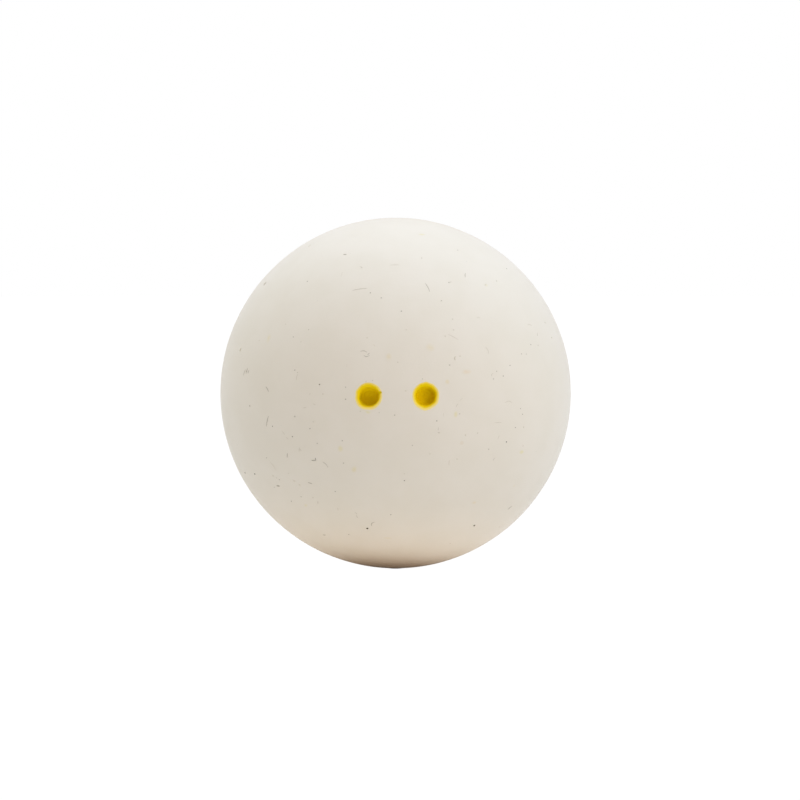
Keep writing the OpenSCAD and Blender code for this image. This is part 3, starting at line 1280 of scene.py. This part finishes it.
class PatternGroups:
    """Node groups that several finishes share, each built once.

    The mottle spreads the middle of its noise, MOTTLE_RANGE, over all its values. The grain's coarse
    noise has COARSE_SHARE as many waves as its fine one.
    """

    MOTTLE_RANGE = (0.34, 0.66)
    FINE_DETAIL = 4.0
    COARSE_DETAIL = 2.0
    COARSE_SHARE = 0.22
    STAIN_STRENGTH = 0.2
    SPOT_STRENGTH = 0.3

    def __init__(self) -> None:
        """Builds the groups."""
        self.mottle = self.build_mottle()
        self.grain = self.build_grain()
        self.spots = self.build_spots()
        self.skin = self.build_skin()

    def build_mottle(self) -> bpy.types.NodeTree:
        """Soft cloudy patches: noise whose middle values are spread over the whole range.

        Returns:
            The group's tree.
        """
        inputs = {"Vector": (VECTOR,), "Size": (FLOAT, 4 * MM), "Detail": (FLOAT, 3.0)}
        sheet = GroupSheet("cloudy_mottle", inputs, {"Mask": FLOAT})
        scale = sheet.math("DIVIDE", 1.0, sheet.given["Size"])
        noise = sheet.noise(sheet.given["Vector"], scale, sheet.given["Detail"])
        return sheet.give(Mask=sheet.ramp(noise, *self.MOTTLE_RANGE))

    def build_grain(self) -> bpy.types.NodeTree:
        """Fine grain of ground rubber: close noise added to coarser noise, as a height.

        Returns:
            The group's tree.
        """
        inputs = {"Vector": (VECTOR,), "Size": (FLOAT, 0.3 * MM)}
        sheet = GroupSheet("ground_grain", inputs, {"Height": FLOAT})
        scale = sheet.math("DIVIDE", 1.0, sheet.given["Size"])
        fine = sheet.noise(sheet.given["Vector"], scale, self.FINE_DETAIL)
        coarse_scale = sheet.math("MULTIPLY", scale, self.COARSE_SHARE)
        coarse = sheet.noise(sheet.given["Vector"], coarse_scale, self.COARSE_DETAIL)
        return sheet.give(Height=sheet.math("ADD", fine, coarse))

    def build_spots(self) -> bpy.types.NodeTree:
        """Scattered small spots: cells whose own random number is low show a round spot at their middle.

        Returns:
            The group's tree.
        """
        numbers = {"Spacing": 1 * MM, "Radius": 0.12, "Share": 0.2}
        inputs = {"Vector": (VECTOR,), **{label: (FLOAT, number) for label, number in numbers.items()}}
        sheet = GroupSheet("scattered_spots", inputs, {"Mask": FLOAT})
        scale = sheet.math("DIVIDE", 1.0, sheet.given["Spacing"])
        cells = sheet.add("TexVoronoi", Vector=sheet.given["Vector"], Scale=scale)
        pick = sheet.add("SeparateColor", Color=cells.outputs["Color"])
        chosen = sheet.math("LESS_THAN", pick.outputs[0], sheet.given["Share"])
        size = sheet.math("MULTIPLY", sheet.given["Radius"], pick.outputs[1])
        near = sheet.math("LESS_THAN", cells.outputs["Distance"], size)
        return sheet.give(Mask=sheet.math("MULTIPLY", chosen, near))

    def build_skin(self) -> bpy.types.NodeTree:
        """Moulded rubber's own look: two creams clouded together, with faint stains and small spots.

        Returns:
            The group's tree.
        """
        inputs = {"Vector": (VECTOR,), **{tone: (COLOUR,) for tone in ("Cream", "Pale", "Stain", "Spot")}}
        sheet = GroupSheet("rubber_skin", inputs, {"Color": COLOUR, "Wear": FLOAT, "Height": FLOAT})
        place = sheet.given["Vector"]
        clouds = sheet.use(self.mottle, Vector=place, Size=4.5 * MM).outputs[0]
        stains = sheet.use(self.spots, Vector=place, Spacing=3.6 * MM, Radius=0.1, Share=0.2).outputs[0]
        spots = sheet.use(self.spots, Vector=place, Spacing=1.3 * MM, Radius=0.06, Share=0.2).outputs[0]
        wear = sheet.use(self.mottle, Vector=place, Size=1.6 * MM).outputs[0]
        height = sheet.use(self.grain, Vector=place, Size=0.22 * MM).outputs[0]
        colour = sheet.blend(clouds, sheet.given["Cream"], sheet.given["Pale"])
        stained = sheet.math("MULTIPLY", stains, self.STAIN_STRENGTH)
        colour = sheet.blend(stained, colour, sheet.given["Stain"])
        spotted = sheet.math("MULTIPLY", spots, self.SPOT_STRENGTH)
        colour = sheet.blend(spotted, colour, sheet.given["Spot"])
        return sheet.give(Color=colour, Wear=wear, Height=height)


@dataclass(frozen=True)
class RubberFinish:
    """Matte cream rubber, faintly clouded, with a ground skin and small spots in it."""

    name: str = "cream_rubber"
    cream: Rgba = (0.815, 0.765, 0.665, 1)
    pale: Rgba = (0.83, 0.78, 0.685, 1)
    ochre: Rgba = (0.70, 0.56, 0.36, 1)
    grey: Rgba = (0.50, 0.47, 0.41, 1)
    roughness: float = 0.6
    wear: float = 0.1
    sheen: float = 0.3
    sheen_roughness: float = 0.45
    grain_strength: float = 0.5
    grain_h: float = 0.02 * MM

    def colour(self, sheet: NodeSheet, skin: bpy.types.Node) -> bpy.types.NodeSocket:
        """The skin's colour as it is."""
        return skin.outputs["Color"]

    def build(self, groups: PatternGroups) -> bpy.types.Material:
        """Puts the skin's colour, wear and grain on a matte shader with the sheen of buffed rubber.

        Args:
            groups: the node groups that finishes share.

        Returns:
            The material.
        """
        sheet = FinishSheet(self.name)
        tones = {"Cream": self.cream, "Pale": self.pale, "Stain": self.ochre, "Spot": self.grey}
        skin = sheet.use(groups.skin, Vector=sheet.place, **tones)
        return sheet.dress(
            Base_Color=self.colour(sheet, skin),
            Roughness=sheet.grown(skin.outputs["Wear"], self.wear, self.roughness),
            Normal=sheet.bump(skin.outputs["Height"], self.grain_strength, self.grain_h),
            Sheen_Weight=self.sheen,
            Sheen_Roughness=self.sheen_roughness,
        )


@dataclass(frozen=True)
class StainFinish(RubberFinish):
    """The same rubber with a stain that fades out to an uneven edge, lemon to pink by its shade."""

    name: str = "stained_rubber"
    lemon: Rgba = (0.97, 0.96, 0.74, 1)
    rose: Rgba = (0.99, 0.93, 0.86, 1)
    patches: float = 0.8
    least: float = 0.6

    def colour(self, sheet: NodeSheet, skin: bpy.types.Node) -> bpy.types.NodeSocket:
        """The skin's colour times the stain's tint, as strong as the fade.

        Args:
            sheet: the finish's sheet.
            skin: the placed group of the rubber's skin.

        Returns:
            The colour.
        """
        uneven = sheet.grown(skin.outputs["Wear"], self.patches, self.least)
        fade = sheet.ramp(sheet.math("MULTIPLY", sheet.read("fade"), uneven), 0.0, 1.0)
        tint = sheet.blend(sheet.read("shade"), self.lemon, self.rose)
        return sheet.blend(fade, skin.outputs["Color"], tint, "MULTIPLY")


@dataclass(frozen=True)
class PaintFinish:
    """Satin yellow paint, pale at its thin edge and deeper in colour inside the recess as painted shade."""

    thin: Rgba = (0.97, 0.81, 0.30, 1)
    bright: Rgba = (0.91, 0.66, 0.004, 1)
    yellow: Rgba = (0.93, 0.685, 0.001, 1)
    # The colour of the painted shade in the lining.
    deep: Rgba = (0.64, 0.45, 0.0005, 1)
    tint: Rgba = (1.0, 0.8, 0.05, 1)
    cover_mm: Span = (0.0, 0.30)
    lining_mm: Span = (0.25, 0.55)
    deepening: Span = (0.1, 0.9)
    cloud_l: float = 0.9 * MM
    clouding: float = 0.1
    roughness: float = 0.4
    wear: float = 0.12
    specular: float = 0.25
    grain_l: float = 0.2 * MM
    grain_strength: float = 0.4
    grain_h: float = 0.02 * MM

    def build(self, groups: PatternGroups) -> bpy.types.Material:
        """Deepens the yellow inwards from the edge and towards one side of the recess, as painted shade,
        under a satin skin.

        Args:
            groups: the node groups that finishes share.

        Returns:
            The material.
        """
        sheet = FinishSheet("dot_yellow")
        clouds = sheet.use(groups.mottle, Vector=sheet.place, Size=self.cloud_l).outputs[0]
        clouded = sheet.grown(clouds, self.clouding, -self.clouding / 2)
        # Painted shade: the deep yellow darkens the lining by the tone and towards the sag's bearing, with
        # clouds.
        painted_shade_and_clouds = sheet.math("ADD", sheet.read("painted_shade_and_clots"), clouded)
        lining = sheet.blend(sheet.ramp(painted_shade_and_clouds, *self.deepening), self.yellow, self.deep)
        lip = sheet.blend(sheet.ramp(sheet.read("covered"), *self.cover_mm), self.thin, self.bright)
        height = sheet.use(groups.grain, Vector=sheet.place, Size=self.grain_l).outputs[0]
        return sheet.dress(
            Base_Color=sheet.blend(sheet.ramp(sheet.read("lined"), *self.lining_mm), lip, lining),
            Roughness=sheet.grown(clouds, self.wear, self.roughness),
            Normal=sheet.bump(height, self.grain_strength, self.grain_h),
            Specular_IOR_Level=self.specular,
            Specular_Tint=self.tint,
        )


@dataclass(frozen=True)
class CementFinish:
    """Cured rubber cement, a little darker and warmer than the cups."""

    light: Rgba = (0.72, 0.66, 0.55, 1)
    dark: Rgba = (0.62, 0.55, 0.43, 1)
    cloud_l: float = 2 * MM
    roughness: float = 0.5
    lump_l: float = 0.4 * MM
    lump_strength: float = 0.5
    lump_h: float = 0.03 * MM

    def build(self, groups: PatternGroups) -> bpy.types.Material:
        """Clouds two tones under a slightly lumpy skin.

        Args:
            groups: the node groups that finishes share.

        Returns:
            The material.
        """
        sheet = FinishSheet("cured_cement")
        clouds = sheet.use(groups.mottle, Vector=sheet.place, Size=self.cloud_l).outputs[0]
        height = sheet.use(groups.grain, Vector=sheet.place, Size=self.lump_l).outputs[0]
        return sheet.dress(
            Base_Color=sheet.blend(clouds, self.light, self.dark),
            Roughness=self.roughness,
            Normal=sheet.bump(height, self.lump_strength, self.lump_h),
        )


@dataclass(frozen=True)
class DustFinish:
    """Lint or dust pressed into the rubber, from nearly the rubber's own colour to dark."""

    name: str
    faint: Rgba
    dark: Rgba
    roughness: float = 0.8
    specular: float = 0.1
    cloud_l: float = 0.4 * MM
    clouding: float = 0.4
    least: float = 0.75

    def build(self, groups: PatternGroups) -> bpy.types.Material:
        """Takes each mark's tone from its shade, uneven along its length.

        Args:
            groups: the node groups that finishes share.

        Returns:
            The material.
        """
        sheet = FinishSheet(self.name)
        clouds = sheet.use(groups.mottle, Vector=sheet.place, Size=self.cloud_l).outputs[0]
        uneven = sheet.math("MULTIPLY", sheet.read("shade"), sheet.grown(clouds, self.clouding, self.least))
        return sheet.dress(
            Base_Color=sheet.blend(uneven, self.faint, self.dark),
            Roughness=self.roughness,
            Specular_IOR_Level=self.specular,
        )


class Glow(NamedTuple):
    """A broad soft light of the studio: where it hangs, and its colour.

    The azimuth is in degrees from behind the ball, round by its right side. The elevation is in
    degrees above level.
    """

    azimuth: float
    elevation: float
    colour: Rgb

    def direction(self) -> tuple[float, float, float]:
        """The unit vector from the ball to the light."""
        a, e = math.radians(self.azimuth), math.radians(self.elevation)
        return math.sin(a) * math.cos(e), math.cos(a) * math.cos(e), math.sin(e)


@dataclass(frozen=True)
class Studio:
    """A white room: a pale floor with a soft glow under the ball, and broad soft lights round it.

    Contact and each ring are two distances along the floor, from the ball's foot or from the middle of
    the shade at it: where an effect starts, and where it is full.
    """

    ball_radius: float
    floor_half: float = 6.0
    ambient: Rgb = (0.22, 0.10, 0.0)
    glows: tuple[Glow, ...] = (
        Glow(0, 90, (0.90, 1.12, 1.43)),
        Glow(0, 50, (0.44, 0.38, 0.51)),
        Glow(60, 50, (0.01, 0.11, 0.12)),
        Glow(120, 50, (0.72, 0.96, 1.25)),
        Glow(180, 50, (0.02, 0.05, 0.0)),
        Glow(300, 50, (0.79, 0.87, 0.83)),
        Glow(90, 10, (0.24, 0.35, 0.35)),
        Glow(135, 10, (0.60, 0.34, 0.18)),
        Glow(315, 10, (0.17, 0.27, 0.29)),
    )
    focus: float = 4.0
    floor_white: float = 0.96
    floor_bright: float = 1.04
    floor_roughness: float = 0.9
    floor_cloud_l: float = 400 * MM
    floor_pale: Rgba = (0.8, 0.79, 0.77, 1)
    floor_paler: Rgba = (0.81, 0.8, 0.78, 1)
    white: Rgba = (1, 1, 1, 1)
    contact: Span = (0.2 * MM, 1.1 * MM)
    shadow_x: float = -0.7 * MM
    shadow_ring: Span = (4 * MM, 11 * MM)
    shadow_tone: Rgba = (0.72, 0.58, 0.45, 1)
    glow_tone: Rgba = (1, 0.888, 0.805, 1)
    faint_glow: float = 0.070
    faint_ring: Span = (1 * MM, 3 * MM)
    near_glow: float = 0.256
    near_ring: Span = (4.6 * MM, 11.4 * MM)
    far_ring: Span = (20.5 * MM, 16.5 * MM)

    def away_from(self, sheet: FinishSheet, middle_x: float) -> bpy.types.NodeSocket:
        """Distance along the floor from a point beside or at the ball's foot."""
        shifted = sheet.vector("SUBTRACT", sheet.place, (middle_x, 0, -self.ball_radius))
        return sheet.vector("LENGTH", shifted.outputs[0]).outputs["Value"]

    def floor_glow(self, sheet: FinishSheet, away: bpy.types.NodeSocket) -> bpy.types.NodeSocket:
        """Strength of the light that comes up through the floor.

        There is none at the ball's foot. It is faint close round the foot, grows to full from a quarter
        to half a radius away from it, and ends about a radius away. Reflections don't see it.

        Args:
            sheet: the floor's sheet.
            away: distance from the middle of the shade at the ball's foot.

        Returns:
            The strength.
        """
        faint = sheet.math("MULTIPLY", sheet.ramp(away, *self.faint_ring), self.faint_glow)
        near = sheet.math("MULTIPLY", sheet.ramp(away, *self.near_ring), self.near_glow)
        glow = sheet.math("MULTIPLY", sheet.math("ADD", faint, near), sheet.ramp(away, *self.far_ring))
        mirrored = sheet.add("LightPath").outputs["Is Glossy Ray"]
        return sheet.math("MULTIPLY", glow, sheet.math("SUBTRACT", 1.0, mirrored))

    def build_floor(self, groups: PatternGroups) -> bpy.types.Object:
        """A wide level sheet that the ball stands on, pale and barely mottled.

        Args:
            groups: the node groups that finishes share.

        Returns:
            The floor's object.
        """
        level = -self.ball_radius
        half = self.floor_half
        mesh = bpy.data.meshes.new("floor")
        corners = [(-half, -half, level), (half, -half, level), (half, half, level), (-half, half, level)]
        mesh.from_pydata(corners, [], [(0, 1, 2, 3)])
        floor = new_object("floor", mesh)
        sheet = FinishSheet("pale_floor")
        clouds = sheet.use(groups.mottle, Vector=sheet.place, Size=self.floor_cloud_l).outputs[0]
        pale = sheet.blend(clouds, self.floor_pale, self.floor_paler)
        away = self.away_from(sheet, self.shadow_x)
        material = sheet.dress(
            Base_Color=sheet.blend(sheet.ramp(away, *self.shadow_ring), self.shadow_tone, pale),
            Emission_Strength=self.floor_glow(sheet, away),
            Emission_Color=self.glow_tone,
            Roughness=self.floor_roughness,
            Specular_IOR_Level=0.0,
        )
        self.whiten(sheet)
        mesh.materials.append(material)
        return floor

    def whiten(self, sheet: FinishSheet) -> None:
        """Shows the floor nearly white but for the ball's foot, while it lights the ball as it is.

        Args:
            sheet: the floor's sheet.
        """
        white = sheet.add("Emission", Color=self.white, Strength=self.floor_bright)
        clear = sheet.ramp(self.away_from(sheet, 0.0), *self.contact)
        seen = sheet.add("LightPath").outputs["Is Camera Ray"]
        share = sheet.math("MULTIPLY", seen, sheet.math("MULTIPLY", clear, self.floor_white))
        shown = sheet.choose(share, sheet.shader.outputs[0], white.outputs[0])
        sheet.fill(sheet.output.inputs["Surface"], shown)

    def build_light(self) -> bpy.types.World:
        """A surrounding that the camera sees as white and that lights the ball by direction.

        The light from a direction is the ambient colour plus, for each glow, its colour times the cosine
        of the angle to its middle, where that is above zero, raised to the power of the focus.

        Returns:
            The world.
        """
        world = bpy.data.worlds.new("studio")
        bpy.context.scene.world = world
        world.use_nodes = True
        world.node_tree.nodes.clear()
        sheet = NodeSheet(world.node_tree)
        heading = sheet.add("TexCoord").outputs["Generated"]
        total = self.ambient
        for glow in self.glows:
            facing = sheet.vector("DOT_PRODUCT", heading, glow.direction()).outputs["Value"]
            strength = sheet.math("POWER", sheet.math("MAXIMUM", facing, 0.0), self.focus)
            scaled = sheet.add("VectorMath", operation="SCALE", Scale=strength)
            sheet.feed(scaled, glow.colour)
            total = sheet.vector("ADD", total, scaled.outputs[0]).outputs[0]
        lit = sheet.add("Background", Color=total).outputs[0]
        white = sheet.add("Background", Color=self.white).outputs[0]
        shown = sheet.choose(sheet.add("LightPath").outputs["Is Camera Ray"], lit, white)
        sheet.add("OutputWorld", Surface=shown)
        return world

    def build(self, groups: PatternGroups) -> None:
        """Builds the floor and the light, and shows colours as they are.

        Args:
            groups: the node groups that finishes share.
        """
        self.build_floor(groups)
        self.build_light()
        bpy.context.scene.view_settings.view_transform = "Standard"
        LOG.info("studio: floor and light")


@dataclass
class SquashBall:
    """The whole ball: its cups, cement, paint and the marks in its skin."""

    sizes: BallSizes
    view: PhotoView
    groups: PatternGroups
    pieces: dict[str, bpy.types.Object] = field(default_factory=dict)

    def finish(self, piece: bpy.types.Object, material: bpy.types.Material) -> None:
        """Gives a piece its material and keeps it by name."""
        piece.data.materials.append(material)
        self.pieces[piece.name] = piece

    def build_body(self, surface: GroundSurface, recess: Recess) -> None:
        """Makes the cups, the cement between them and the paint in the recesses.

        Args:
            surface: the unevenness of the ball's outside.
            recess: the form of both dot recesses.
        """
        rubber = RubberFinish().build(self.groups)
        self.finish(FrontShell(self.sizes, surface, recess=recess).build(), rubber)
        self.finish(RearShell(self.sizes, surface).build(), rubber)
        self.finish(SeamCement(self.sizes, surface).build(), CementFinish().build(self.groups))
        paint = PaintFinish().build(self.groups)
        for side, lay in LAYS.items():
            self.finish(DotPaint(recess, surface, side, lay).build(), paint)

    def build_marks(self, surface: GroundSurface) -> None:
        """Makes the lint, specks and stains that lie in the skin.

        Args:
            surface: the unevenness of the ball's outside.
        """
        hairs = Scatter(count=30, length=(0.4, 1.4), width=(0.06, 0.11), bend=0.9, shade=(0.15, 0.8), seed=21)
        specks = Scatter(count=70, length=(0.14, 0.19), width=(0.12, 0.15), bend=0, shade=(0.2, 1.0), seed=22)
        stains = Scatter(count=16, length=(0.5, 0.9), width=(0.35, 0.6), bend=0, shade=(0.0, 1.0), seed=23)
        strand = MarkShape(flatness=0.5, proud=0.08, rings=12, sides=6)
        grit = MarkShape(flatness=0.4, proud=0.06, rings=5, sides=8)
        lens = MarkShape(flatness=0.01, proud=0.004, rings=13, sides=20)
        lint = DustFinish("grey_lint", faint=(0.79, 0.735, 0.635, 1), dark=(0.16, 0.13, 0.09, 1))
        dust = DustFinish("dark_dust", faint=(0.78, 0.725, 0.625, 1), dark=(0.09, 0.065, 0.04, 1))
        kinds = (
            (MarkKind.FIBRE, SEEN_FIBRES, hairs, strand, lint),
            (MarkKind.SPECK, SEEN_SPECKS, specks, grit, dust),
            (MarkKind.STAIN, SEEN_STAINS, stains, lens, StainFinish()),
        )
        for kind, seen, scatter, shape, finish in kinds:
            marks = SurfaceMarks(kind, seen, scatter, shape, self.view, surface)
            self.finish(marks.build(), finish.build(self.groups))

    def build(self) -> None:
        """Makes every piece of the ball."""
        surface = GroundSurface(self.sizes.radius)
        recess = Recess(RecessSizes(), self.sizes)
        self.build_body(surface, recess)
        self.build_marks(surface)


def main() -> None:
    """Builds the studio, the camera and the ball, and reports each piece."""
    logging.basicConfig(level=logging.INFO, format="%(message)s")
    low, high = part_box("front_shell")
    radius = (high.x - low.x) / 2
    view = PhotoView(radius - GroundSurface.GROUND_OFF)
    view.build_camera()
    groups = PatternGroups()
    Studio(radius).build(groups)
    ball = SquashBall(BallSizes(radius), view, groups)
    ball.build()
    for name, piece in ball.pieces.items():
        LOG.info("%s is made of %s", name, piece.data.materials[0].name)


if __name__ == "__main__":
    main()
